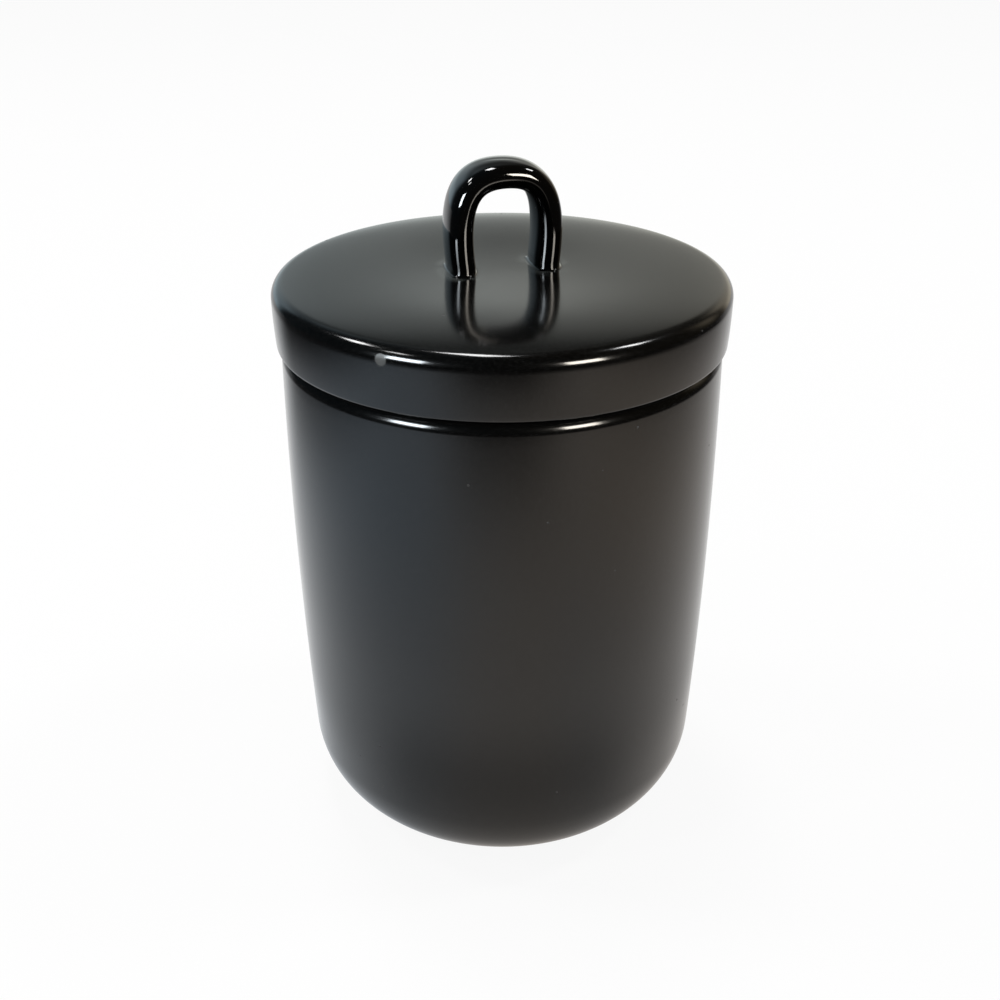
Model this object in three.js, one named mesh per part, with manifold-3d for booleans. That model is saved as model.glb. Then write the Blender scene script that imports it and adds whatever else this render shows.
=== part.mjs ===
// Glazed stoneware canister: a round jar, a lift-off lid with a loop handle, and the lid's silicone seal.
// Millimetres, +Z up. The origin is the centre of the foot, on the surface that the jar stands on.
// The handle's loop lies in the XZ plane.

import * as THREE from 'three';
import { mergeVertices } from 'three/addons/utils/BufferGeometryUtils.js';
import Module from 'manifold-3d';

// Jar
const JAR_HEIGHT = 128.4;
const JAR_RADIUS = 51.8;
const JAR_BELLY = 0.88;
const JAR_WALL = 5.0;
const JAR_FLOOR = 6.0;
const JAR_CORNER_ROUND = 21.9;
const JAR_SHOULDER_ROUND = 3.2;
const JAR_LIP_ROUND = 1.2;
const FOOT_RING_WIDTH = 5.5;
const FOOT_RECESS_DEPTH = 1.2;
const FOOT_RECESS_SLOPE = 1.0;

// Lid
const LID_OVERHANG = 1.2;
const LID_EDGE_HEIGHT = 14.1;
const LID_CROWN_RISE = 1.3;
const LID_CROWN_SLOPE_DEG = 7.0;
const LID_TOP_ROUND = 3.2;
const LID_BOTTOM_ROUND = 0.6;
const LID_BOW = 0.1;
const LID_TOP_WALL = 6.0;
const PLUG_DEPTH = 12.0;
const PLUG_WALL = 4.5;
const PLUG_EDGE_ROUND = 1.0;
const RECESS_ROUND = 4.0;

// Groove in the lid's plug and the seal that sits in it
const GROOVE_DROP = 3.0;
const GROOVE_HEIGHT = 5.0;
const GROOVE_DEPTH = 1.5;
const SEAL_LIPS = 2;
const SEAL_LIP_THICKNESS = 0.9;
const SEAL_LIP_RISE = 0.6;

// Loop handle
const HANDLE_HEIGHT = 24.1;
const HANDLE_FOOT_SPAN = 19.7;
const HANDLE_BOW = 2.0;
const HANDLE_LEG_PULL = 18.1;
const HANDLE_CROWN_PULL = 6.8;
const STRAP_THICKNESS = 6.1;
const STRAP_WIDTH = 12.4;
const STRAP_CAMBER_DEG = 11.0;
const FOOT_FLARE = 0.5;

// Clearances
const REST_GAP = 0.3;
const PLUG_CLEARANCE = 1.5;
const SEAL_GAP = 0.3;
const LUTING_GAP = 0.3;

// Fineness of the facets
const TURN_STEPS = 64;
const STRAP_STEPS = 14;
const FLARE_STEPS = 4;
const FLARE_END_DEG = 75;
const FOOT_TRIM_DEPTH = 0.8;

// Values that follow from the sizes above
const mouthRadius = JAR_RADIUS - JAR_WALL;
const lidRadius = JAR_RADIUS + LID_OVERHANG;
const lidBase = JAR_HEIGHT + REST_GAP;
const lidEdgeTop = lidBase + LID_EDGE_HEIGHT;
const lidCrown = lidEdgeTop + LID_CROWN_RISE;
const lidWall = LID_EDGE_HEIGHT - LID_TOP_ROUND - LID_BOTTOM_ROUND;
const lidLeanDeg = THREE.MathUtils.radToDeg(Math.atan((4 * LID_BOW) / lidWall));
const plugRadius = mouthRadius - PLUG_CLEARANCE;
const plugBase = lidBase - PLUG_DEPTH;
const grooveTop = lidBase - GROOVE_DROP;
const grooveBase = grooveTop - GROOVE_HEIGHT;
const grooveFloor = plugRadius - GROOVE_DEPTH;

// A point of an outline: distance from the axis, then height
function at(radius, height) {
  return new THREE.Vector2(radius, height);
}

// A round stretch of an outline, between two angles in degrees
function arc(centre, radius, fromDeg, toDeg, steps) {
  const points = [];
  for (let i = 0; i <= steps; i += 1) {
    const angle = THREE.MathUtils.degToRad(fromDeg + ((toDeg - fromDeg) * i) / steps);
    points.push(at(centre.x + radius * Math.cos(angle), centre.y + radius * Math.sin(angle)));
  }
  return points;
}

// The inner points of a bowed stretch between two ends, without the ends themselves
function bow(start, pull, end, steps) {
  return new THREE.QuadraticBezierCurve(start, pull, end).getPoints(steps).slice(1, -1);
}

// An outline turned about the Z axis
function revolve(outline) {
  const geometry = new THREE.LatheGeometry(outline, TURN_STEPS);
  geometry.rotateX(Math.PI / 2);
  return geometry;
}

// A closed skin over a row of rings with equal numbers of points, flat at both ends
function loft(rings) {
  const sides = rings[0].length;
  const index = [];
  for (let ring = 0; ring < rings.length - 1; ring += 1) {
    for (let side = 0; side < sides; side += 1) {
      const a = ring * sides + side;
      const b = ring * sides + ((side + 1) % sides);
      index.push(a, b, b + sides, a, b + sides, a + sides);
    }
  }
  const last = (rings.length - 1) * sides;
  for (let side = 1; side < sides - 1; side += 1) {
    index.push(0, side + 1, side);
    index.push(last, last + side, last + side + 1);
  }
  const geometry = new THREE.BufferGeometry().setFromPoints(rings.flat());
  geometry.setIndex(index);
  return geometry;
}

// Solids for cutting
const wasm = await Module();
wasm.setup();

function solidFrom(geometry) {
  const bare = geometry.clone();
  bare.deleteAttribute('normal');
  bare.deleteAttribute('uv');
  const merged = mergeVertices(bare);
  const vertProperties = new Float32Array(merged.attributes.position.array);
  const triVerts = new Uint32Array(merged.index.array);
  return new wasm.Manifold(new wasm.Mesh({ numProp: 3, vertProperties, triVerts }));
}

function geometryFrom(solid) {
  const mesh = solid.getMesh();
  const geometry = new THREE.BufferGeometry();
  geometry.setAttribute('position', new THREE.BufferAttribute(mesh.vertProperties, 3));
  geometry.setIndex(new THREE.BufferAttribute(mesh.triVerts, 1));
  geometry.computeVertexNormals();
  return geometry;
}

// The jar's side, a round corner and a slightly swelling wall, for the outside and the inside alike
function jarSide(radius, cornerRound, base, top, steps) {
  const corner = at(radius - cornerRound, base + cornerRound);
  const lean = THREE.MathUtils.radToDeg(Math.atan((4 * JAR_BELLY) / (top - corner.y)));
  const round = arc(corner, cornerRound, -90, -lean, steps);
  const foot = round[round.length - 1];
  const head = at(radius, top);
  const pull = at(radius + 2 * JAR_BELLY, (foot.y + top) / 2);
  return [...round, ...bow(foot, pull, head, steps), head];
}

function makeJar() {
  const footRadius = JAR_RADIUS - JAR_CORNER_ROUND;
  const recessRadius = footRadius - FOOT_RING_WIDTH;
  const shoulderBase = JAR_HEIGHT - JAR_SHOULDER_ROUND;
  const lipBase = JAR_HEIGHT - JAR_LIP_ROUND;
  const insideFloor = FOOT_RECESS_DEPTH + JAR_FLOOR;
  const outside = jarSide(JAR_RADIUS, JAR_CORNER_ROUND, 0, shoulderBase, 7);
  const inside = jarSide(mouthRadius, JAR_CORNER_ROUND - JAR_WALL, insideFloor, lipBase, 6);
  const shoulder = arc(at(JAR_RADIUS - JAR_SHOULDER_ROUND, shoulderBase), JAR_SHOULDER_ROUND, 0, 90, 4);
  const lip = arc(at(mouthRadius + JAR_LIP_ROUND, lipBase), JAR_LIP_ROUND, 90, 180, 3);
  return revolve([
    at(0, FOOT_RECESS_DEPTH),
    at(recessRadius - FOOT_RECESS_SLOPE, FOOT_RECESS_DEPTH),
    at(recessRadius, 0),
    ...outside,
    ...shoulder.slice(1),
    ...lip,
    ...inside.reverse().slice(1),
    at(0, insideFloor),
  ]);
}

// The lid's rounded edge and crown, from the edge's lower end to the axis, raised by a gap
function lidTop(raise) {
  const edge = at(lidRadius - LID_BOW - LID_TOP_ROUND, lidEdgeTop - LID_TOP_ROUND + raise);
  const round = arc(edge, LID_TOP_ROUND, lidLeanDeg, 90 - LID_CROWN_SLOPE_DEG, 5);
  const start = round[round.length - 1];
  const crown = at(0, lidCrown + raise);
  const slope = Math.tan(THREE.MathUtils.degToRad(LID_CROWN_SLOPE_DEG));
  const pull = at(start.x - (crown.y - start.y) / slope, crown.y);
  return [...round, ...bow(start, pull, crown, 7), crown];
}

function makeLid() {
  const recessRadius = plugRadius - PLUG_WALL;
  const ceiling = lidCrown - LID_TOP_WALL;
  const plugRoundBase = plugBase + PLUG_EDGE_ROUND;
  const bottomCentre = at(lidRadius - LID_BOW - LID_BOTTOM_ROUND, lidBase + LID_BOTTOM_ROUND);
  const bottomRound = arc(bottomCentre, LID_BOTTOM_ROUND, 270, 360 - lidLeanDeg, 3);
  const pull = at(lidRadius + LID_BOW, bottomCentre.y + lidWall / 2);
  const top = lidTop(0);
  return revolve([
    at(0, ceiling),
    ...arc(at(recessRadius - RECESS_ROUND, ceiling - RECESS_ROUND), RECESS_ROUND, 90, 0, 4),
    ...arc(at(recessRadius + PLUG_EDGE_ROUND, plugRoundBase), PLUG_EDGE_ROUND, 180, 270, 3),
    ...arc(at(plugRadius - PLUG_EDGE_ROUND, plugRoundBase), PLUG_EDGE_ROUND, 270, 360, 3),
    at(plugRadius, grooveBase),
    at(grooveFloor, grooveBase),
    at(grooveFloor, grooveTop),
    at(plugRadius, grooveTop),
    at(plugRadius, lidBase),
    ...bottomRound,
    ...bow(bottomRound[bottomRound.length - 1], pull, top[0], 4),
    ...top,
  ]);
}

// A soft ring in the plug's groove, with thin lips that reach up and out to the jar's mouth
function makeSeal() {
  const inner = grooveFloor + SEAL_GAP;
  const base = grooveBase + SEAL_GAP;
  const top = grooveTop - SEAL_GAP;
  const lipReach = mouthRadius - SEAL_GAP;
  const pitch = (top - base - SEAL_LIP_RISE) / SEAL_LIPS;
  const outline = [at(inner, base)];
  for (let lip = 0; lip < SEAL_LIPS; lip += 1) {
    const root = base + lip * pitch;
    outline.push(at(plugRadius, root));
    outline.push(at(lipReach, root + SEAL_LIP_RISE));
    outline.push(at(lipReach, root + SEAL_LIP_RISE + SEAL_LIP_THICKNESS / 2));
    outline.push(at(plugRadius, root + SEAL_LIP_THICKNESS));
  }
  outline.push(at(plugRadius, top), at(inner, top), at(inner, base));
  return revolve(outline);
}

// The strap's section, two cambered faces between two round edges, grown on all sides by a flare
function strapSection(flare) {
  const camber = THREE.MathUtils.degToRad(STRAP_CAMBER_DEG);
  const lean = Math.tan(camber / 2);
  const edgeRound = (STRAP_THICKNESS / 2 - (STRAP_WIDTH / 2) * lean) / (1 - lean);
  const edgeCentre = STRAP_WIDTH / 2 - edgeRound;
  const faceRound = edgeRound + edgeCentre / Math.sin(camber);
  const faceCentre = STRAP_THICKNESS / 2 - faceRound;
  const face = arc(at(faceCentre, 0), faceRound + flare, -STRAP_CAMBER_DEG, STRAP_CAMBER_DEG, 4);
  const edge = arc(at(0, edgeCentre), edgeRound + flare, STRAP_CAMBER_DEG, 180 - STRAP_CAMBER_DEG, 8);
  const half = [...face.slice(0, -1), ...edge.slice(0, -1)];
  return [...half, ...half.map((corner) => at(-corner.x, -corner.y))];
}

// One section of the strap, stood square to the loop at a point of it
function strapRing(point, tangent, flare) {
  const width = new THREE.Vector3(0, 1, 0);
  const across = new THREE.Vector3().crossVectors(width, tangent);
  return strapSection(flare).map((corner) => new THREE.Vector3()
    .copy(point)
    .addScaledVector(across, corner.x)
    .addScaledVector(width, corner.y));
}

// The loop's centre line: two bowed legs that meet in a round crown
function makeHandle() {
  const foot = lidCrown + LUTING_GAP + FOOT_FLARE;
  const crown = lidCrown + HANDLE_HEIGHT - STRAP_THICKNESS / 2;
  const halfSpan = HANDLE_FOOT_SPAN / 2;
  const leftFoot = new THREE.Vector3(-halfSpan, 0, foot);
  const rightFoot = new THREE.Vector3(halfSpan, 0, foot);
  const crownPoint = new THREE.Vector3(0, 0, crown);
  const loop = new THREE.CurvePath();
  loop.add(new THREE.CubicBezierCurve3(
    leftFoot,
    new THREE.Vector3(-halfSpan - HANDLE_BOW, 0, lidCrown + HANDLE_LEG_PULL),
    new THREE.Vector3(-HANDLE_CROWN_PULL, 0, crown),
    crownPoint,
  ));
  loop.add(new THREE.CubicBezierCurve3(
    crownPoint,
    new THREE.Vector3(HANDLE_CROWN_PULL, 0, crown),
    new THREE.Vector3(halfSpan + HANDLE_BOW, 0, lidCrown + HANDLE_LEG_PULL),
    rightFoot,
  ));
  const strap = [];
  for (let i = 0; i <= 2 * STRAP_STEPS; i += 1) {
    const share = i / (2 * STRAP_STEPS);
    strap.push(strapRing(loop.getPointAt(share), loop.getTangentAt(share), 0));
  }
  const up = new THREE.Vector3(0, 0, 1);
  const down = new THREE.Vector3(0, 0, -1);
  const leftFlare = flareRings(leftFoot, up);
  const rightFlare = flareRings(rightFoot, down);
  const blank = loft([...leftFlare.reverse(), ...strap, ...rightFlare]);
  const lidBlank = revolve([at(0, lidBase), at(lidRadius, lidBase), ...lidTop(LUTING_GAP)]);
  return geometryFrom(solidFrom(blank).subtract(solidFrom(lidBlank)));
}

// The hollow fillet that spreads a leg's foot on the lid, from the leg down into the lid's face
function flareRings(foot, tangent) {
  const rings = [];
  for (let i = 1; i <= FLARE_STEPS; i += 1) {
    const angle = THREE.MathUtils.degToRad((FLARE_END_DEG * i) / FLARE_STEPS);
    const point = foot.clone();
    point.z -= FOOT_FLARE * Math.sin(angle);
    rings.push(strapRing(point, tangent, FOOT_FLARE * (1 - Math.cos(angle))));
  }
  const spread = FOOT_FLARE * (1 - Math.cos(THREE.MathUtils.degToRad(FLARE_END_DEG)));
  const buried = foot.clone();
  buried.z -= FOOT_FLARE + FOOT_TRIM_DEPTH;
  rings.push(strapRing(buried, tangent, spread));
  return rings;
}

// Finishes
const blackGlaze = new THREE.MeshStandardMaterial({ color: 0x1d1d1e, roughness: 0.38, metalness: 0 });
const glossGlaze = new THREE.MeshStandardMaterial({ color: 0x111112, roughness: 0.16, metalness: 0 });
const darkSilicone = new THREE.MeshStandardMaterial({ color: 0x2b2b2c, roughness: 0.8, metalness: 0 });

function piece(name, geometry, material) {
  const mesh = new THREE.Mesh(geometry, material);
  mesh.name = name;
  return mesh;
}

const lidGroup = new THREE.Group();
lidGroup.add(piece('lid', makeLid(), blackGlaze));
lidGroup.add(piece('loop_handle', makeHandle(), glossGlaze));
lidGroup.add(piece('seal_ring', makeSeal(), darkSilicone));

const canister = new THREE.Group();
canister.add(piece('jar_body', makeJar(), blackGlaze));
canister.add(lidGroup);

export default canister;
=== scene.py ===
"""Black-glazed stoneware canister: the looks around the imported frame. Metres, +Z up."""

import math

import bmesh
import bpy
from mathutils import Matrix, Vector


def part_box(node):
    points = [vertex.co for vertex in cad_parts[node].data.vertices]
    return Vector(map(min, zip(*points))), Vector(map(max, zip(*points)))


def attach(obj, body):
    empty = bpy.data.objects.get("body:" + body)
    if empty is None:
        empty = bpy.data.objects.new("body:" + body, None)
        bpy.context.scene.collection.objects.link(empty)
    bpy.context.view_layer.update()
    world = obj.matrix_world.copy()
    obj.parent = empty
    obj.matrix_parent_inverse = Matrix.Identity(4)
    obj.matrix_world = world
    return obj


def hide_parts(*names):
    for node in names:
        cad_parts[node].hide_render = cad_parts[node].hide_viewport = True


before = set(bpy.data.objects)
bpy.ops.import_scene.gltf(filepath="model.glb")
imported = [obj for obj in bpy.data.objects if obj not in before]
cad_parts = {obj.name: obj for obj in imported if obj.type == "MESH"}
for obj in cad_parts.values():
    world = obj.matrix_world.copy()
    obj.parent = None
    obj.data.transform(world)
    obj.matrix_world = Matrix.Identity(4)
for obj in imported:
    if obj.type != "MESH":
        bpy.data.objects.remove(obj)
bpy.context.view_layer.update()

# Places that the frame gives
jar_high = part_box("jar_body")[1]
lid_low, lid_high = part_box("lid")
seal_low, seal_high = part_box("seal_ring")
handle_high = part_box("loop_handle")[1]

# Jar
JAR_BELLY = 0.00088
JAR_WALL = 0.0050
JAR_FLOOR = 0.0060
JAR_CORNER_ROUND = 0.0219
JAR_SHOULDER_ROUND = 0.0032
JAR_LIP_ROUND = 0.0012
FOOT_RING_WIDTH = 0.0055
FOOT_RECESS_DEPTH = 0.0012
FOOT_RECESS_SLOPE = 0.0010
FOOT_EDGE_ROUND = 0.0005
FOOT_BARE_HEIGHT = 0.00012

# Lid
REST_GAP = 0.0003
LID_EDGE_HEIGHT = 0.0141
LID_CROWN_SLOPE = math.radians(7.0)
LID_TOP_ROUND = 0.0032
LID_BOTTOM_ROUND = 0.0006
LID_BOW = 0.0001
LID_DRAFT = 0.0002
LID_TOP_WALL = 0.0060
PLUG_CLEARANCE = 0.0015
PLUG_WALL = 0.0045
PLUG_EDGE_ROUND = 0.0010
PLUG_ROOT_ROUND = 0.0006
PLUG_BARE_HEIGHT = 0.0007
RECESS_ROUND = 0.0040

# Groove in the plug, and the seal in it
GROOVE_DEPTH = 0.0015
GROOVE_ROUND = 0.0003
SEAL_GAP = 0.0003
SEAL_LIPS = 2
SEAL_LIP_THICKNESS = 0.0009
SEAL_LIP_RISE = 0.0006
SEAL_ROUND = 0.00018

# Loop handle
HANDLE_FOOT_SPAN = 0.0197
HANDLE_BOW = 0.0020
HANDLE_LEG_PULL = 0.0181
HANDLE_CROWN_PULL = 0.0068
STRAP_THICKNESS = 0.0061
STRAP_WIDTH = 0.0124
STRAP_CAMBER = math.radians(11.0)
FOOT_LIFT = 0.0015
FILLET_HEIGHT = 0.0005
FILLET_WIDTH = 0.0007
FILLET_POOLING = 0.35
SKIRT_WIDTH = 0.0004
SKIRT_SINKS = (0.00002, 0.0004)

# Fineness of the meshes
TURNS = 256
ARC_STEPS = 12
WALL_STEPS = 40
STRAP_STEPS = 60
FILLET_STEPS = 8
SAME_POINT = 1e-7

# Hand finish: how far a turned wall may lie inside its true round, and how its waves run
WOBBLE = 0.00008
OVAL_TURN = 0.6
WAVE_RATES = (55, 38)

# Places that follow from the sizes above
jar_top = jar_high.z
rim_radius = jar_high.x - JAR_BELLY
mouth_radius = rim_radius - JAR_WALL
lid_radius = lid_high.x
lid_base = jar_top + REST_GAP
lid_edge_top = lid_base + LID_EDGE_HEIGHT
lid_crown = lid_high.z
lid_wall = LID_EDGE_HEIGHT - LID_TOP_ROUND - LID_BOTTOM_ROUND
lid_lean = math.atan(4 * LID_BOW / lid_wall)
plug_radius = mouth_radius - PLUG_CLEARANCE
plug_base = lid_low.z
groove_floor = plug_radius - GROOVE_DEPTH
groove_base = seal_low.z - SEAL_GAP
groove_top = seal_high.z + SEAL_GAP


# Outlines: points of distance from the axis and height, counter-clockwise

def arc(centre, radius, start, end, steps=ARC_STEPS):
    """A round stretch of an outline, between two angles in degrees."""
    points = []
    for i in range(steps + 1):
        angle = math.radians(start + (end - start) * i / steps)
        points.append(centre + radius * Vector((math.cos(angle), math.sin(angle))))
    return points


def bow(start, pull, end, steps):
    """A bowed stretch of an outline, drawn towards one point."""
    points = []
    for i in range(steps + 1):
        t = i / steps
        points.append((1 - t) ** 2 * start + 2 * t * (1 - t) * pull + t * t * end)
    return points


def rounded(corners):
    """An outline through corners of (distance, height, round), each turned into an arc of its round."""
    points = []
    for i, (distance, height, size) in enumerate(corners):
        here = Vector((distance, height))
        if size == 0:
            points.append(here)
            continue
        before = (Vector(corners[i - 1][:2]) - here).normalized()
        after = (Vector(corners[(i + 1) % len(corners)][:2]) - here).normalized()
        half = before.angle(after) / 2
        centre = here + (before + after).normalized() * size / math.sin(half)
        first = here + before * size / math.tan(half) - centre
        start = math.degrees(math.atan2(first.y, first.x))
        turn = 180 - math.degrees(2 * half)
        side = 1 if before.x * after.y - before.y * after.x < 0 else -1
        points += arc(centre, size, start, start + side * turn)
    return points


def jar_side(radius, corner_round, base, top):
    """The jar's wall, outside or inside: a round corner and a slightly swelling side."""
    corner = Vector((radius - corner_round, base + corner_round))
    lean = math.atan(4 * JAR_BELLY / (top - corner.y))
    turn = arc(corner, corner_round, -90, -math.degrees(lean), 2 * ARC_STEPS)
    pull = Vector((radius + 2 * JAR_BELLY, (turn[-1].y + top) / 2))
    return turn + bow(turn[-1], pull, Vector((radius, top)), WALL_STEPS)


def jar_outline():
    """Foot ring with its recess, wall, shoulder, lip and hollow."""
    foot_radius = rim_radius - JAR_CORNER_ROUND
    recess_radius = foot_radius - FOOT_RING_WIDTH
    inside_floor = FOOT_RECESS_DEPTH + JAR_FLOOR
    shoulder_base = jar_top - JAR_SHOULDER_ROUND
    lip_base = jar_top - JAR_LIP_ROUND
    foot = rounded([
        (0, FOOT_RECESS_DEPTH, 0),
        (recess_radius - FOOT_RECESS_SLOPE, FOOT_RECESS_DEPTH, FOOT_EDGE_ROUND),
        (recess_radius, 0, FOOT_EDGE_ROUND),
        (foot_radius, 0, 0),
    ])
    rim = rounded([
        (rim_radius, shoulder_base, 0),
        (rim_radius, jar_top, JAR_SHOULDER_ROUND),
        (mouth_radius, jar_top, JAR_LIP_ROUND),
        (mouth_radius, lip_base, 0),
    ])
    outside = jar_side(rim_radius, JAR_CORNER_ROUND, 0, shoulder_base)
    inside = jar_side(mouth_radius, JAR_CORNER_ROUND - JAR_WALL, inside_floor, lip_base)
    return foot + outside + rim + inside[::-1] + [Vector((0, inside_floor))]


def lid_edge_start():
    """Where the lid's rounded edge passes into its crown."""
    angle = math.pi / 2 - LID_CROWN_SLOPE
    return Vector((
        lid_radius - LID_BOW - LID_TOP_ROUND * (1 - math.cos(angle)),
        lid_edge_top - LID_TOP_ROUND * (1 - math.sin(angle)),
    ))


def lid_pull():
    """The distance from the axis that the crown's bow is drawn towards."""
    start = lid_edge_start()
    return start.x - (lid_crown - start.y) / math.tan(LID_CROWN_SLOPE)


def lid_height(distance):
    """The height of the lid's crown at a distance from the axis."""
    start = lid_edge_start()
    pull = lid_pull()
    spread = start.x - 2 * pull
    share = (math.sqrt(pull ** 2 + spread * distance) - pull) / spread
    return lid_crown - share ** 2 * (lid_crown - start.y)


def lid_outline():
    """Hollow plug with its groove, side, rounded edge and crown."""
    recess_radius = plug_radius - PLUG_WALL
    under = rounded([
        (0, lid_crown - LID_TOP_WALL, 0),
        (recess_radius, lid_crown - LID_TOP_WALL, RECESS_ROUND),
        (recess_radius, plug_base, PLUG_EDGE_ROUND),
        (plug_radius, plug_base, PLUG_EDGE_ROUND),
        (plug_radius, groove_base, GROOVE_ROUND),
        (groove_floor, groove_base, GROOVE_ROUND),
        (groove_floor, groove_top, GROOVE_ROUND),
        (plug_radius, groove_top, GROOVE_ROUND),
        (plug_radius, lid_base, PLUG_ROOT_ROUND),
        (lid_radius - LID_DRAFT - LID_BOW - LID_BOTTOM_ROUND, lid_base, 0),
    ])
    lean = math.degrees(lid_lean)
    low = Vector((lid_radius - LID_DRAFT - LID_BOW - LID_BOTTOM_ROUND, lid_base + LID_BOTTOM_ROUND))
    low_turn = arc(low, LID_BOTTOM_ROUND, -90, -lean)
    top = Vector((lid_radius - LID_BOW - LID_TOP_ROUND, lid_edge_top - LID_TOP_ROUND))
    high_turn = arc(top, LID_TOP_ROUND, lean, 90 - math.degrees(LID_CROWN_SLOPE))
    pull = Vector((lid_radius - LID_DRAFT / 2 + LID_BOW, low.y + lid_wall / 2))
    wall = bow(low_turn[-1], pull, high_turn[0], ARC_STEPS)
    crown = bow(high_turn[-1], Vector((lid_pull(), lid_crown)), Vector((0, lid_crown)), WALL_STEPS)
    return under + low_turn + wall + high_turn + crown


def seal_outline():
    """A ring with thin lips that reach up and out to the jar's mouth."""
    inner = groove_floor + SEAL_GAP
    ground_falloff = seal_high.x
    pitch = (seal_high.z - seal_low.z - SEAL_LIP_RISE) / SEAL_LIPS
    corners = [(inner, seal_low.z, SEAL_ROUND)]
    for lip in range(SEAL_LIPS):
        root = seal_low.z + lip * pitch
        corners += [
            (plug_radius, root, SEAL_ROUND),
            (ground_falloff, root + SEAL_LIP_RISE, SEAL_ROUND),
            (ground_falloff, root + SEAL_LIP_RISE + SEAL_LIP_THICKNESS / 2, SEAL_ROUND),
            (plug_radius, root + SEAL_LIP_THICKNESS, SEAL_ROUND),
        ]
    corners += [(plug_radius, seal_high.z, SEAL_ROUND), (inner, seal_high.z, SEAL_ROUND)]
    return rounded(corners)


# Meshes

def bridge(mesh, rings, material=lambda ring: 0):
    """Quads between neighbouring rings of equal numbers of points."""
    for i in range(len(rings) - 1):
        lower, upper = rings[i], rings[i + 1]
        for j in range(len(lower)):
            k = (j + 1) % len(lower)
            face = mesh.faces.new((lower[j], lower[k], upper[k], upper[j]))
            face.material_index = material(i)


def finished(name, mesh, materials):
    """A smooth piece from a mesh and its materials."""
    bmesh.ops.recalc_face_normals(mesh, faces=mesh.faces)
    data = bpy.data.meshes.new(name)
    mesh.to_mesh(data)
    mesh.free()
    for material in materials:
        data.materials.append(material)
    data.polygons.foreach_set("use_smooth", [True] * len(data.polygons))
    piece = bpy.data.objects.new(name, data)
    bpy.context.scene.collection.objects.link(piece)
    return piece


def wobble(angle, height):
    """The small unevenness of a hand-finished wall: always inwards, so the true size is never passed."""
    oval = math.cos(2 * angle + OVAL_TURN)
    waves = math.sin(3 * angle + WAVE_RATES[0] * height) * math.cos(WAVE_RATES[1] * height)
    return WOBBLE * (2 + oval + waves) / 4


def revolve(name, outline, materials, bare_below=None, closed=False):
    """An outline turned about the Z axis. Below bare_below, a height, the second material shows."""
    points = [outline[0]]
    for point in outline[1:]:
        if (point - points[-1]).length > SAME_POINT:
            points.append(point)
    mesh = bmesh.new()
    rings = []
    for distance, height in points:
        if distance == 0:
            rings.append([mesh.verts.new((0, 0, height))])
            continue
        ring = []
        for i in range(TURNS):
            angle = 2 * math.pi * i / TURNS
            radius = distance - wobble(angle, height)
            ring.append(mesh.verts.new((radius * math.cos(angle), radius * math.sin(angle), height)))
        rings.append(ring)
    if closed:
        rings.append(rings[0])

    def material(i):
        if bare_below is None:
            return 0
        return int((points[i].y + points[(i + 1) % len(points)].y) / 2 < bare_below)

    open_rings = [ring for ring in rings if len(ring) > 1]
    first = 0 if len(rings[0]) > 1 else 1
    bridge(mesh, open_rings, lambda i: material(i + first))
    if len(rings[0]) == 1:
        for i in range(TURNS):
            mesh.faces.new((rings[0][0], rings[1][(i + 1) % TURNS], rings[1][i]))
    if len(rings[-1]) == 1:
        for i in range(TURNS):
            mesh.faces.new((rings[-1][0], rings[-2][i], rings[-2][(i + 1) % TURNS]))
    return finished(name, mesh, materials)


def strap_section():
    """The strap's section, two cambered faces between two round edges: points, and the way each faces."""
    lean = math.tan(STRAP_CAMBER / 2)
    edge_round = (STRAP_THICKNESS / 2 - STRAP_WIDTH / 2 * lean) / (1 - lean)
    edge_centre = STRAP_WIDTH / 2 - edge_round
    face_round = edge_round + edge_centre / math.sin(STRAP_CAMBER)
    face_centre = STRAP_THICKNESS / 2 - face_round
    half = []
    for i in range(ARC_STEPS):
        angle = STRAP_CAMBER * (2 * i / ARC_STEPS - 1)
        way = Vector((math.cos(angle), math.sin(angle)))
        half.append((Vector((face_centre, 0)) + face_round * way, way))
    for i in range(2 * ARC_STEPS):
        angle = STRAP_CAMBER + (math.pi - 2 * STRAP_CAMBER) * i / (2 * ARC_STEPS)
        way = Vector((math.cos(angle), math.sin(angle)))
        half.append((Vector((0, edge_centre)) + edge_round * way, way))
    return half + [(-point, -way) for point, way in half]


def leg_point(share):
    """A point and direction of the loop's centre line, from a foot (0) to the crown (1)."""
    crown = handle_high.z - STRAP_THICKNESS / 2
    half_span = HANDLE_FOOT_SPAN / 2
    a = Vector((half_span, 0, lid_crown + FOOT_LIFT))
    b = Vector((half_span + HANDLE_BOW, 0, lid_crown + HANDLE_LEG_PULL))
    c = Vector((HANDLE_CROWN_PULL, 0, crown))
    d = Vector((0, 0, crown))
    rest = 1 - share
    point = rest ** 3 * a + 3 * rest ** 2 * share * b + 3 * rest * share ** 2 * c + share ** 3 * d
    way = rest ** 2 * (b - a) + 2 * rest * share * (c - b) + share ** 2 * (d - c)
    return point, way.normalized()


def pooled(way, side):
    """How much slip and glaze lies round a foot on the side that faces a way: 1, more or less."""
    angle = math.atan2(way.y, way.x)
    return 1 + FILLET_POOLING * (math.sin(2 * angle + 2 * side) + math.sin(5 * angle + side)) / 2


def foot_ring(side, wide, high, extra=0, sink=0):
    """A ring round a foot: shares of the fillet's width and height, then out by extra and down by sink."""
    ring = []
    for point, way in strap_section():
        size = pooled(way, side)
        spread = (size * FILLET_WIDTH * wide + extra) * way
        x = HANDLE_FOOT_SPAN / 2 + point.x + spread.x
        y = point.y + spread.y
        height = lid_height(math.hypot(x, y)) + size * FILLET_HEIGHT * high - sink
        ring.append(Vector((side * x, y, height)))
    return ring


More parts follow.
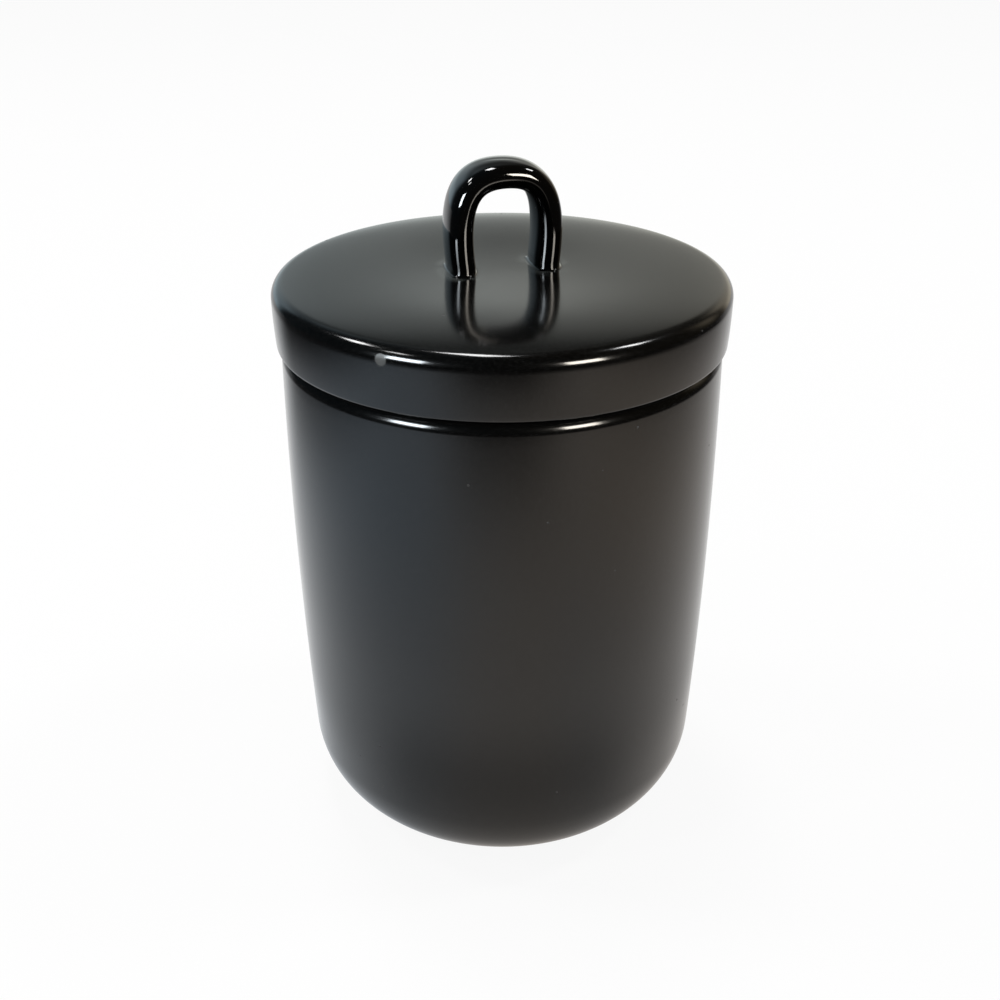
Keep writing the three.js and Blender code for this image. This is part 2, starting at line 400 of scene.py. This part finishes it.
def foot_rings(side):
    """Rings from a foot down its fillet and into the lid, for the leg at +X (side 1) or -X (-1)."""
    rings = []
    for i in range(FILLET_STEPS + 1):
        turn = math.pi / 2 * i / FILLET_STEPS
        rings.append(foot_ring(side, 1 - math.cos(turn), 1 - math.sin(turn)))
    for sink in SKIRT_SINKS:
        rings.append(foot_ring(side, 1, 0, SKIRT_WIDTH, sink))
    return rings


def leg_rings(side):
    """Rings along a leg, from its foot to the middle of the crown."""
    rings = []
    for i in range(STRAP_STEPS + 1):
        point, way = leg_point(i / STRAP_STEPS)
        outward = Vector((way.z, 0, -way.x))
        ring = [point + outward * p.x + Vector((0, p.y, 0)) for p, _ in strap_section()]
        rings.append([Vector((side * p.x, p.y, p.z)) for p in ring])
    return rings


def loop_rings():
    """Rings along the whole handle, from the foot at +X over the crown to the foot at -X."""
    return foot_rings(1)[::-1] + leg_rings(1) + leg_rings(-1)[-2::-1] + foot_rings(-1)


def make_handle(materials):
    """The loop, with the skirts round its feet in the second material."""
    mesh = bmesh.new()
    rings = [[mesh.verts.new(point) for point in ring] for ring in loop_rings()]
    skirt = len(SKIRT_SINKS)
    bridge(mesh, rings, lambda i: int(i < skirt or i >= len(rings) - 1 - skirt))
    mesh.faces.new(rings[0])
    mesh.faces.new(rings[-1])
    return finished("handle", mesh, materials)


# Materials

# Noise in them: how many features to the metre, and how much finer detail
CLOUD_NOISE = (45, 3)
SWELL_NOISE = (110, 1)
SKIN_NOISE = (900, 2)
GRAIN_NOISE = (2000, 2)
SMEAR_NOISE = (240, 1)
SAND_NOISE = (2500, 4)
DUST_NOISE = (1200, 4)

# Glaze: two close tones in clouds, its roughness and the clouds' shares of it, its waves
GLAZE_IOR = 1.45
SATIN_TONES = ((0.0006, 0.0006, 0.0006), (0.0012, 0.0012, 0.0012))
GLOSSY_TONES = ((0.0010, 0.0010, 0.0010), (0.0015, 0.0015, 0.0015))
JAR_ROUGHNESS = 0.14
LID_ROUGHNESS = 0.13
HANDLE_ROUGHNESS = 0.05
CLOUD_STOPS = (0.35, 0.65)
CLOUD_SHARES = (0.8, 1.2)
SWELL_HEIGHT = 0.000008
SKIN_HEIGHT = 0.0000015

# Fine crystals of a satin glaze: where they start and are full, and their tone
GRAIN_STEP = (0.42, 0.64)
GRAIN_TONE = (0.0042, 0.0042, 0.0041, 1)

# Dust and pinholes: the size of a cell, a speck's radius, the share of cells with one, its tone
SPECK_CELL = 0.004
SPECK_RADIUS = 0.0003
SPECK_SHARE = 0.05
SPECK_TONE = (0.06, 0.06, 0.06, 1)

# A rough spot in the glaze of the lid's edge, its pale tone a painted reflection: its bearing from the
# back, its drop below the edge's top, the radii where it starts and is full
SPOT_BEARING = math.radians(-138.1)
SPOT_DROP = 0.0029
SPOT_FADE = (0.0016, 0.0010)
SPOT_REFLECTION_TONE = (0.075, 0.078, 0.075, 1)
SPOT_ROUGHNESS = 0.45

# Slip wiped off round the handle's feet: half sizes of its reach, and where it starts and is full
SMEAR_SIZE = (0.0046, 0.0077, 0.0030)
SMEAR_FADE = (1.45, 0.85)
SMEAR_STEP = (0.36, 0.60)
SMEAR_TONE = (0.050, 0.055, 0.053, 1)
SMEAR_ROUGHNESS = 0.25

# Unglazed clay
CLAY_TONES = ((0.30, 0.25, 0.20), (0.46, 0.40, 0.33))
CLAY_STOPS = (0.35, 0.65)
CLAY_ROUGHNESS = 0.9
SAND_HEIGHT = 0.00003

# Silicone
SILICONE_TONES = ((0.035, 0.035, 0.036), (0.060, 0.060, 0.061))
SILICONE_STOPS = (0.4, 0.7)
SILICONE_ROUGHNESS = (0.5, 0.7)
DUST_HEIGHT = 0.00001


def new_material(name):
    """A material, with its nodes and links."""
    material = bpy.data.materials.new(name)
    material.use_nodes = True
    return material, material.node_tree.nodes, material.node_tree.links


def noise_of(nodes, links, scale, detail):
    """Noise in the piece's own coordinates, with features about 1 / scale metres wide."""
    place = nodes.new("ShaderNodeTexCoord")
    texture = nodes.new("ShaderNodeTexNoise")
    texture.inputs["Scale"].default_value = scale
    texture.inputs["Detail"].default_value = detail
    links.new(place.outputs["Object"], texture.inputs["Vector"])
    return texture.outputs["Fac"]


def ramp_of(nodes, links, source, stops, tones):
    """A colour by a value: one of two tones at each of two stops, mixed between."""
    ramp = nodes.new("ShaderNodeValToRGB")
    links.new(source, ramp.inputs["Fac"])
    for element, value, tone in zip(ramp.color_ramp.elements, stops, tones):
        element.position = value
        element.color = (*tone, 1)
    return ramp.outputs["Color"]


def range_of(nodes, links, source, low, high):
    """A value from 0 to 1 spread between two values."""
    spread = nodes.new("ShaderNodeMapRange")
    spread.inputs["To Min"].default_value = low
    spread.inputs["To Max"].default_value = high
    links.new(source, spread.inputs["Value"])
    return spread.outputs["Result"]


def bump_of(nodes, links, height, distance, below=None):
    """The surface's direction over bumps of a height, laid over those below."""
    bump = nodes.new("ShaderNodeBump")
    bump.inputs["Strength"].default_value = 1
    bump.inputs["Distance"].default_value = distance
    links.new(height, bump.inputs["Height"])
    if below is not None:
        links.new(below, bump.inputs["Normal"])
    return bump.outputs["Normal"]


def math_of(nodes, links, operation, first, second):
    """Two values, or a value and a number, put together."""
    node = nodes.new("ShaderNodeMath")
    node.operation = operation
    links.new(first, node.inputs[0])
    if isinstance(second, (int, float)):
        node.inputs[1].default_value = second
    else:
        links.new(second, node.inputs[1])
    return node.outputs[0]


def over(nodes, links, share, below, tone):
    """A colour laid over another where a share says."""
    mix = nodes.new("ShaderNodeMix")
    mix.data_type = "RGBA"
    links.new(share, mix.inputs["Factor"])
    links.new(below, mix.inputs["A"])
    mix.inputs["B"].default_value = tone
    return mix.outputs["Result"]


def specks_of(nodes, links):
    """1 in a few grains of dust and pinholes, else 0."""
    place = nodes.new("ShaderNodeTexCoord")
    cells = nodes.new("ShaderNodeTexVoronoi")
    cells.inputs["Scale"].default_value = 1 / SPECK_CELL
    links.new(place.outputs["Object"], cells.inputs["Vector"])
    near = math_of(nodes, links, "LESS_THAN", cells.outputs["Distance"], SPECK_RADIUS / SPECK_CELL)
    draw = nodes.new("ShaderNodeSeparateColor")
    links.new(cells.outputs["Color"], draw.inputs["Color"])
    chosen = math_of(nodes, links, "LESS_THAN", draw.outputs["Red"], SPECK_SHARE)
    return math_of(nodes, links, "MULTIPLY", near, chosen)


def vector_of(nodes, links, operation, source, other=(0, 0, 0)):
    """A vector put together with a fixed one."""
    node = nodes.new("ShaderNodeVectorMath")
    node.operation = operation
    node.inputs[1].default_value = other
    links.new(source, node.inputs[0])
    return node.outputs["Value" if operation in ("DISTANCE", "LENGTH") else "Vector"]


def soft_step(nodes, links, source, start, end):
    """0 at start, 1 at end, smooth between."""
    step = nodes.new("ShaderNodeMapRange")
    step.interpolation_type = "SMOOTHSTEP"
    step.inputs["From Min"].default_value = start
    step.inputs["From Max"].default_value = end
    links.new(source, step.inputs["Value"])
    return step.outputs["Result"]


def spot_and_reflection_of(nodes, links):
    """1 in the rough spot of the lid's edge, whose pale tone is a painted reflection, softly 0 outside it.
    """
    centre = Vector((
        lid_radius * math.sin(SPOT_BEARING),
        lid_radius * math.cos(SPOT_BEARING),
        lid_edge_top - SPOT_DROP,
    ))
    place = nodes.new("ShaderNodeTexCoord").outputs["Object"]
    away = vector_of(nodes, links, "DISTANCE", place, centre)
    return soft_step(nodes, links, away, *SPOT_FADE)


def smears_of(nodes, links):
    """How much slip is left round the handle's feet: soft patches from 0 to 1."""
    place = nodes.new("ShaderNodeTexCoord").outputs["Object"]
    mirrored = vector_of(nodes, links, "ABSOLUTE", place)
    beside = vector_of(nodes, links, "SUBTRACT", mirrored, (HANDLE_FOOT_SPAN / 2, 0, lid_crown))
    scaled = vector_of(nodes, links, "DIVIDE", beside, SMEAR_SIZE)
    away = vector_of(nodes, links, "LENGTH", scaled)
    ground_falloff = soft_step(nodes, links, away, *SMEAR_FADE)
    patches = soft_step(nodes, links, noise_of(nodes, links, *SMEAR_NOISE), *SMEAR_STEP)
    return math_of(nodes, links, "MULTIPLY", ground_falloff, patches)


def glaze(name, tones, roughness, satin=False, marked=False):
    """Black glaze: soft clouds, a fine skin and specks, with crystals if satin and the lid's marks, one a
    painted reflection.
    """
    material, nodes, links = new_material(name)
    shader = nodes["Principled BSDF"]
    clouds = noise_of(nodes, links, *CLOUD_NOISE)
    swell = noise_of(nodes, links, *SWELL_NOISE)
    skin = noise_of(nodes, links, *SKIN_NOISE)
    specks = specks_of(nodes, links)
    tone = ramp_of(nodes, links, clouds, CLOUD_STOPS, tones)
    if satin:
        grain = soft_step(nodes, links, noise_of(nodes, links, *GRAIN_NOISE), *GRAIN_STEP)
        tone = over(nodes, links, grain, tone, GRAIN_TONE)
    tone = over(nodes, links, specks, tone, SPECK_TONE)
    rough = range_of(nodes, links, clouds, *[share * roughness for share in CLOUD_SHARES])
    rough = math_of(nodes, links, "MAXIMUM", rough, specks)
    marks = []
    if marked:
        # The rough spot on the lid's edge: its pale tone is a painted reflection
        marks.append((spot_and_reflection_of(nodes, links), SPOT_REFLECTION_TONE, SPOT_ROUGHNESS))
        marks.append((smears_of(nodes, links), SMEAR_TONE, SMEAR_ROUGHNESS))
    for mark, mark_tone, mark_roughness in marks:
        tone = over(nodes, links, mark, tone, mark_tone)
        dull = math_of(nodes, links, "MULTIPLY", mark, mark_roughness)
        rough = math_of(nodes, links, "MAXIMUM", rough, dull)
    links.new(tone, shader.inputs["Base Color"])
    links.new(rough, shader.inputs["Roughness"])
    waves = bump_of(nodes, links, swell, SWELL_HEIGHT)
    links.new(bump_of(nodes, links, skin, SKIN_HEIGHT, waves), shader.inputs["Normal"])
    shader.inputs["IOR"].default_value = GLAZE_IOR
    return material


def bare_clay():
    """Unglazed fired clay: pale, dry and sandy."""
    material, nodes, links = new_material("bare_clay")
    shader = nodes["Principled BSDF"]
    sand = noise_of(nodes, links, *SAND_NOISE)
    links.new(ramp_of(nodes, links, sand, CLAY_STOPS, CLAY_TONES), shader.inputs["Base Color"])
    links.new(bump_of(nodes, links, sand, SAND_HEIGHT), shader.inputs["Normal"])
    shader.inputs["Roughness"].default_value = CLAY_ROUGHNESS
    return material


def silicone():
    """Dark silicone rubber with a dull, faintly dusty skin."""
    material, nodes, links = new_material("silicone")
    shader = nodes["Principled BSDF"]
    dust = noise_of(nodes, links, *DUST_NOISE)
    links.new(ramp_of(nodes, links, dust, SILICONE_STOPS, SILICONE_TONES), shader.inputs["Base Color"])
    links.new(range_of(nodes, links, dust, *SILICONE_ROUGHNESS), shader.inputs["Roughness"])
    links.new(bump_of(nodes, links, dust, DUST_HEIGHT), shader.inputs["Normal"])
    return material


# The canister
clay = bare_clay()
jar_glaze = glaze("jar_glaze", SATIN_TONES, JAR_ROUGHNESS, satin=True)
lid_glaze = glaze("lid_glaze", SATIN_TONES, LID_ROUGHNESS, satin=True, marked=True)
handle_glaze = glaze("handle_glaze", GLOSSY_TONES, HANDLE_ROUGHNESS)

jar = revolve("jar", jar_outline(), [jar_glaze, clay], bare_below=FOOT_BARE_HEIGHT)
lid = revolve("lid_cover", lid_outline(), [lid_glaze, clay], bare_below=plug_base + PLUG_BARE_HEIGHT)
handle = make_handle([handle_glaze, lid_glaze])
seal = revolve("seal", seal_outline(), [silicone()], closed=True)

for piece, body, node, slot in [
    (jar, "jar", "jar_body", "jar_glaze"),
    (lid, "lid", "lid", "lid_glaze"),
    (handle, "lid", "loop_handle", "handle_glaze"),
    (seal, "seal", "seal_ring", "silicone"),
]:
    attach(piece, body)
    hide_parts(node)

# Camera
CAMERA_AZIMUTH = math.radians(-14.74)
CAMERA_ELEVATION = math.radians(31.26)
CAMERA_DISTANCE = 0.3147
CAMERA_AIM = Vector((0, 0, 0.065))
CAMERA_LENS = 42.92
CAMERA_SENSOR = 36.0
CAMERA_SHIFT = (-0.0022, 0.0604)
CAMERA_NEAR = 0.01

camera_data = bpy.data.cameras.new("camera")
camera_data.sensor_width = CAMERA_SENSOR
camera_data.lens = CAMERA_LENS
camera_data.shift_x, camera_data.shift_y = CAMERA_SHIFT
camera_data.clip_start = CAMERA_NEAR
camera = bpy.data.objects.new("camera", camera_data)
bpy.context.scene.collection.objects.link(camera)
bpy.context.scene.camera = camera
camera_back = Vector((
    math.sin(CAMERA_AZIMUTH) * math.cos(CAMERA_ELEVATION),
    -math.cos(CAMERA_AZIMUTH) * math.cos(CAMERA_ELEVATION),
    math.sin(CAMERA_ELEVATION),
))
camera.location = CAMERA_AIM + CAMERA_DISTANCE * camera_back
camera.rotation_euler = camera_back.to_track_quat("Z", "Y").to_euler()

# Studio. A place in it is told by its bearing, in degrees clockwise from the way the camera looks,
# its elevation above the lid in degrees, and its distance. Levels are beside a white surface's 1.
BEARINGS = range(-180, 180, 2)
COOL = (0.86, 0.94, 1.0)
WARM = (1.0, 0.93, 0.83)
WHITE = (1.0, 1.0, 1.0)

# Floor, and the even light of the world
FLOOR_RADIUS = 4.0
FLOOR_SEGMENTS = 128
FLOOR_WHITE = (0.90, 0.90, 0.90, 1)
FLOOR_GLOW = 0.92
FILL_LEVEL = 0.34

# The room that the glaze mirrors: a pale wall behind, its middle and its sides
ROOM_RADIUS = 2.4
ROOM_ELEVATIONS = range(-6, 90)
ROOM_DARK = 0.04
HORIZON_LEVEL = 0.60
HORIZON_FADE = (4, 11)
WALL_LEVEL = 0.46
WALL_FADE = (21, 35)
MIDDLE_HALF_WIDTH = (11, 19)
SIDE_HORIZON_LEVEL = 0.25
SIDE_WALL_LEVEL = 0.68
SIDE_FADE = (19, 34)
ROOM_HALF_WIDTH = (40, 52)
WALL_TINT = 0.25
WALL_GREEN = 0.045

# Soft patches of light and shade on the room's walls: bearing, elevation, half width, half height, level
GLOWS = [
    (0, 20.3, 6.5, 2.2, 0.90),
    (0, 15.0, 5.0, 2.5, -0.27),
    (0, 28.5, 5.0, 3.5, -0.10),
    (-12, 25, 6, 4, 0.10),
    (-32, 38, 14, 10, 0.26),
    (-8, 48, 34, 16, 0.14),
    (62, 18, 8, 12, 0.45),
]

# The table that the glaze mirrors: where it starts and how finely it is drawn
GROUND_LEVEL = 1.0
GROUND_START = 0.039
GROUND_STEP = 0.010
GROUND_SKIM = 0.0005

# Where its level falls: further behind, in a painted shadow in front, and to the sides
BACK_LEVEL = 0.75
BACK_FADE = (0.20, 0.60)
BACK_HALF_WIDTH = (35, 60)
FRONT_FADE = (0.16, 0.49)
FRONT_HALF_WIDTH = (5, 40)
LEFT_BEARING = -65
LEFT_FADE = (0.17, 0.44)
RIGHT_BEARING = 80
RIGHT_FADE = (0.18, 0.62)
FAR_FADE = (0.42, 0.50)

# The jar's shade on it: in front and at the sides, thinner close by, and deep below the jar
CONTACT_FRONT = 0.52
CONTACT_SIDE = 0.18
CONTACT_FADE = (0.070, 0.125)
CONTACT_HALF_WIDTH = (32, 66)
UNDER_GAIN = 0.55
UNDER_FADE = (0.066, 0.088)
DEEP_SHADE = 0.30
DEEP_FADE = (0.044, 0.064)

# Its light: stronger at the left, cool left and warm right, less so near the jar
LEFT_GAIN = 0.09
GROUND_TINT = 0.22
NEAR_TINT = 0.35
NEAR_FADE = (0.08, 0.28)
FRONT_WARMTH = 0.06

# Lamps: name, bearing, elevation, degrees wide and high, level, colour, and whether matt things are lit
LAMP_DISTANCE = 1.8
LAMPS = [
    ("window_left", -134, 15, 18, 17, 44, COOL, False),
    ("window_right", 141, 18, 17, 17, 36, WARM, False),
    ("lamp_back", -27, 78, 9, 19, 26, WHITE, True),
    ("lamp_left", -79, 48, 11, 8, 28, WHITE, True),
    ("lamp_right", 81, 54, 9, 9, 28, WHITE, True),
    ("lamp_front_left", -117, 46, 8, 6, 18, WHITE, True),
]

studio_centre = Vector((0, 0, lid_crown))


def studio_way(bearing, elevation):
    """The direction of a bearing and an elevation."""
    turn = math.radians(bearing) - CAMERA_AZIMUTH
    rise = math.radians(elevation)
    return Vector((math.sin(turn) * math.cos(rise), math.cos(turn) * math.cos(rise), math.sin(rise)))


def fade(value, start, end):
    """1 before start, 0 past end, smooth between."""
    share = min(max((value - start) / (end - start), 0), 1)
    return 1 - share * share * (3 - 2 * share)


def tinted(level, warmth, green=0):
    """A grey level, shifted towards warm and towards green."""
    return (level * (1 + warmth - green), level, level * (1 - warmth - green), 1)


def room_colour(bearing, elevation):
    """The room: a pale wall behind with soft patches of light, dark in front and above."""
    low = fade(elevation, *HORIZON_FADE)
    middle = HORIZON_LEVEL * low + WALL_LEVEL * fade(elevation, *WALL_FADE)
    side = SIDE_HORIZON_LEVEL * low + SIDE_WALL_LEVEL * fade(elevation, *SIDE_FADE)
    share = fade(abs(bearing), *MIDDLE_HALF_WIDTH)
    level = ROOM_DARK + (share * middle + (1 - share) * side) * fade(abs(bearing), *ROOM_HALF_WIDTH)
    for glow_bearing, glow_elevation, wide, high, strength in GLOWS:
        aside, above = (bearing - glow_bearing) / wide, (elevation - glow_elevation) / high
        level += strength * math.exp(-aside ** 2 - above ** 2)
    return tinted(level, WALL_TINT * math.sin(math.radians(bearing)), WALL_GREEN)


def ground_colour(bearing, distance):
    """The table: shaded by the jar, a painted shadow past its front, darker past its sides, cool left,
    warm right.
    """
    left = distance * math.cos(math.radians(bearing - LEFT_BEARING))
    right = distance * math.cos(math.radians(bearing - RIGHT_BEARING))
    aside = math.sin(math.radians(bearing))
    from_front = 180 - abs(bearing)
    in_front = fade(from_front, *FRONT_HALF_WIDTH)
    behind = fade(abs(bearing), *BACK_HALF_WIDTH)
    shade = CONTACT_SIDE + (CONTACT_FRONT - CONTACT_SIDE) * fade(from_front, *CONTACT_HALF_WIDTH)
    under = 1 - UNDER_GAIN * fade(distance, *UNDER_FADE)
    deep = 1 - DEEP_SHADE * fade(distance, *DEEP_FADE)
    contact = deep * (1 - shade * under * fade(distance, *CONTACT_FADE))
    # A painted shadow on the table in front of the jar
    front = 1 - in_front * (1 - fade(distance, *FRONT_FADE))
    side = fade(left, *LEFT_FADE) * fade(right, *RIGHT_FADE) * fade(distance, *FAR_FADE)
    back = BACK_LEVEL + (1 - BACK_LEVEL) * fade(distance, *BACK_FADE)
    ground_falloff = front * (side + behind * (back - side))
    level = ROOM_DARK + (GROUND_LEVEL - LEFT_GAIN * aside - ROOM_DARK) * contact * ground_falloff
    near = 1 - (1 - NEAR_TINT) * fade(distance, *NEAR_FADE)
    sideways = aside * (1 - math.cos(math.radians(bearing))) / 2
    return tinted(level, GROUND_TINT * near * sideways + FRONT_WARMTH * in_front)


def seen_directly(nodes, links):
    """1 for rays of the camera, of gloss and of glass, else 0."""
    path = nodes.new("ShaderNodeLightPath").outputs
    gloss = math_of(nodes, links, "MAXIMUM", path["Is Camera Ray"], path["Is Glossy Ray"])
    return math_of(nodes, links, "MAXIMUM", gloss, path["Is Transmission Ray"])


def floor_material():
    """White paper: part of its white is its own, so that it stays white round the soft shadow."""
    material, nodes, links = new_material("floor_white")
    paper = nodes["Principled BSDF"]
    paper.inputs["Base Color"].default_value = FLOOR_WHITE
    paper.inputs["Roughness"].default_value = 1
    paper.inputs["Specular IOR Level"].default_value = 0
    glow = nodes.new("ShaderNodeEmission")
    mix = nodes.new("ShaderNodeMixShader")
    share = math_of(nodes, links, "MULTIPLY", seen_directly(nodes, links), FLOOR_GLOW)
    links.new(share, mix.inputs[0])
    links.new(paper.outputs[0], mix.inputs[1])
    links.new(glow.outputs[0], mix.inputs[2])
    links.new(mix.outputs[0], nodes["Material Output"].inputs["Surface"])
    return material


def room_material():
    """A surface that shines as its points' colour says."""
    material, nodes, links = new_material("room")
    level = nodes.new("ShaderNodeVertexColor")
    level.layer_name = "level"
    shine = nodes.new("ShaderNodeEmission")
    links.new(level.outputs["Color"], shine.inputs["Color"])
    links.new(shine.outputs[0], nodes["Material Output"].inputs["Surface"])
    return material


def make_floor():
    """A wide round floor."""
    mesh = bmesh.new()
    bmesh.ops.create_circle(mesh, cap_ends=True, segments=FLOOR_SEGMENTS, radius=FLOOR_RADIUS)
    return finished("floor", mesh, [floor_material()])


def room_rings():
    """A dome round the object: rings of places and their colours."""
    rings = []
    for elevation in ROOM_ELEVATIONS:
        ring = []
        for bearing in BEARINGS:
            place = studio_centre + ROOM_RADIUS * studio_way(bearing, elevation)
            ring.append((place, room_colour(bearing, elevation)))
        rings.append(ring)
    return rings


def ground_rings():
    """The table round the jar and the dark beyond it: rings of places and their colours."""
    rings = []
    distance = GROUND_START
    while distance < ROOM_RADIUS:
        ring = []
        for bearing in BEARINGS:
            place = distance * studio_way(bearing, 0)
            ring.append((Vector((place.x, place.y, GROUND_SKIM)), ground_colour(bearing, distance)))
        rings.append(ring)
        distance += GROUND_STEP
    return rings


def reflected_only(name, rings, material):
    """A shining surface over rings of places and colours that only reflections see."""
    mesh = bmesh.new()
    layer = mesh.verts.layers.float_color.new("level")
    rows = []
    for ring in rings:
        row = []
        for place, colour in ring:
            point = mesh.verts.new(place)
            point[layer] = colour
            row.append(point)
        rows.append(row)
    bridge(mesh, rows)
    piece = finished(name, mesh, [material])
    piece.visible_camera = False
    piece.visible_diffuse = False
    piece.visible_shadow = False
    return piece


def make_lamp(name, bearing, elevation, wide, high, level, colour, lights_matt):
    """A rectangular lamp that faces the lid, so many degrees wide and high as seen from there."""
    data = bpy.data.lights.new(name, "AREA")
    data.shape = "RECTANGLE"
    data.size = LAMP_DISTANCE * math.radians(wide)
    data.size_y = LAMP_DISTANCE * math.radians(high)
    data.energy = level * math.pi * data.size * data.size_y
    data.color = colour
    lamp = bpy.data.objects.new(name, data)
    bpy.context.scene.collection.objects.link(lamp)
    way = studio_way(bearing, elevation)
    lamp.location = studio_centre + LAMP_DISTANCE * way
    lamp.rotation_euler = way.to_track_quat("Z", "Y").to_euler()
    lamp.visible_camera = False
    lamp.visible_diffuse = lights_matt


floor = make_floor()
shine = room_material()
room = reflected_only("room", room_rings(), shine)
ground = reflected_only("ground", ground_rings(), shine)

for lamp in LAMPS:
    make_lamp(*lamp)

# World: white where it is seen, and an even fill
world = bpy.data.worlds.new("studio")
bpy.context.scene.world = world
world.use_nodes = True
world_nodes, world_links = world.node_tree.nodes, world.node_tree.links
fill = world_nodes["Background"]
fill.inputs["Color"].default_value = (*WHITE, 1)
fill.inputs["Strength"].default_value = FILL_LEVEL
seen_white = world_nodes.new("ShaderNodeBackground")
seen_white.inputs["Color"].default_value = (*WHITE, 1)
seen_white.inputs["Strength"].default_value = 1
world_mix = world_nodes.new("ShaderNodeMixShader")
world_links.new(seen_directly(world_nodes, world_links), world_mix.inputs[0])
world_links.new(fill.outputs[0], world_mix.inputs[1])
world_links.new(seen_white.outputs[0], world_mix.inputs[2])
world_links.new(world_mix.outputs[0], world_nodes["World Output"].inputs["Surface"])

bpy.context.scene.view_settings.view_transform = "Standard"
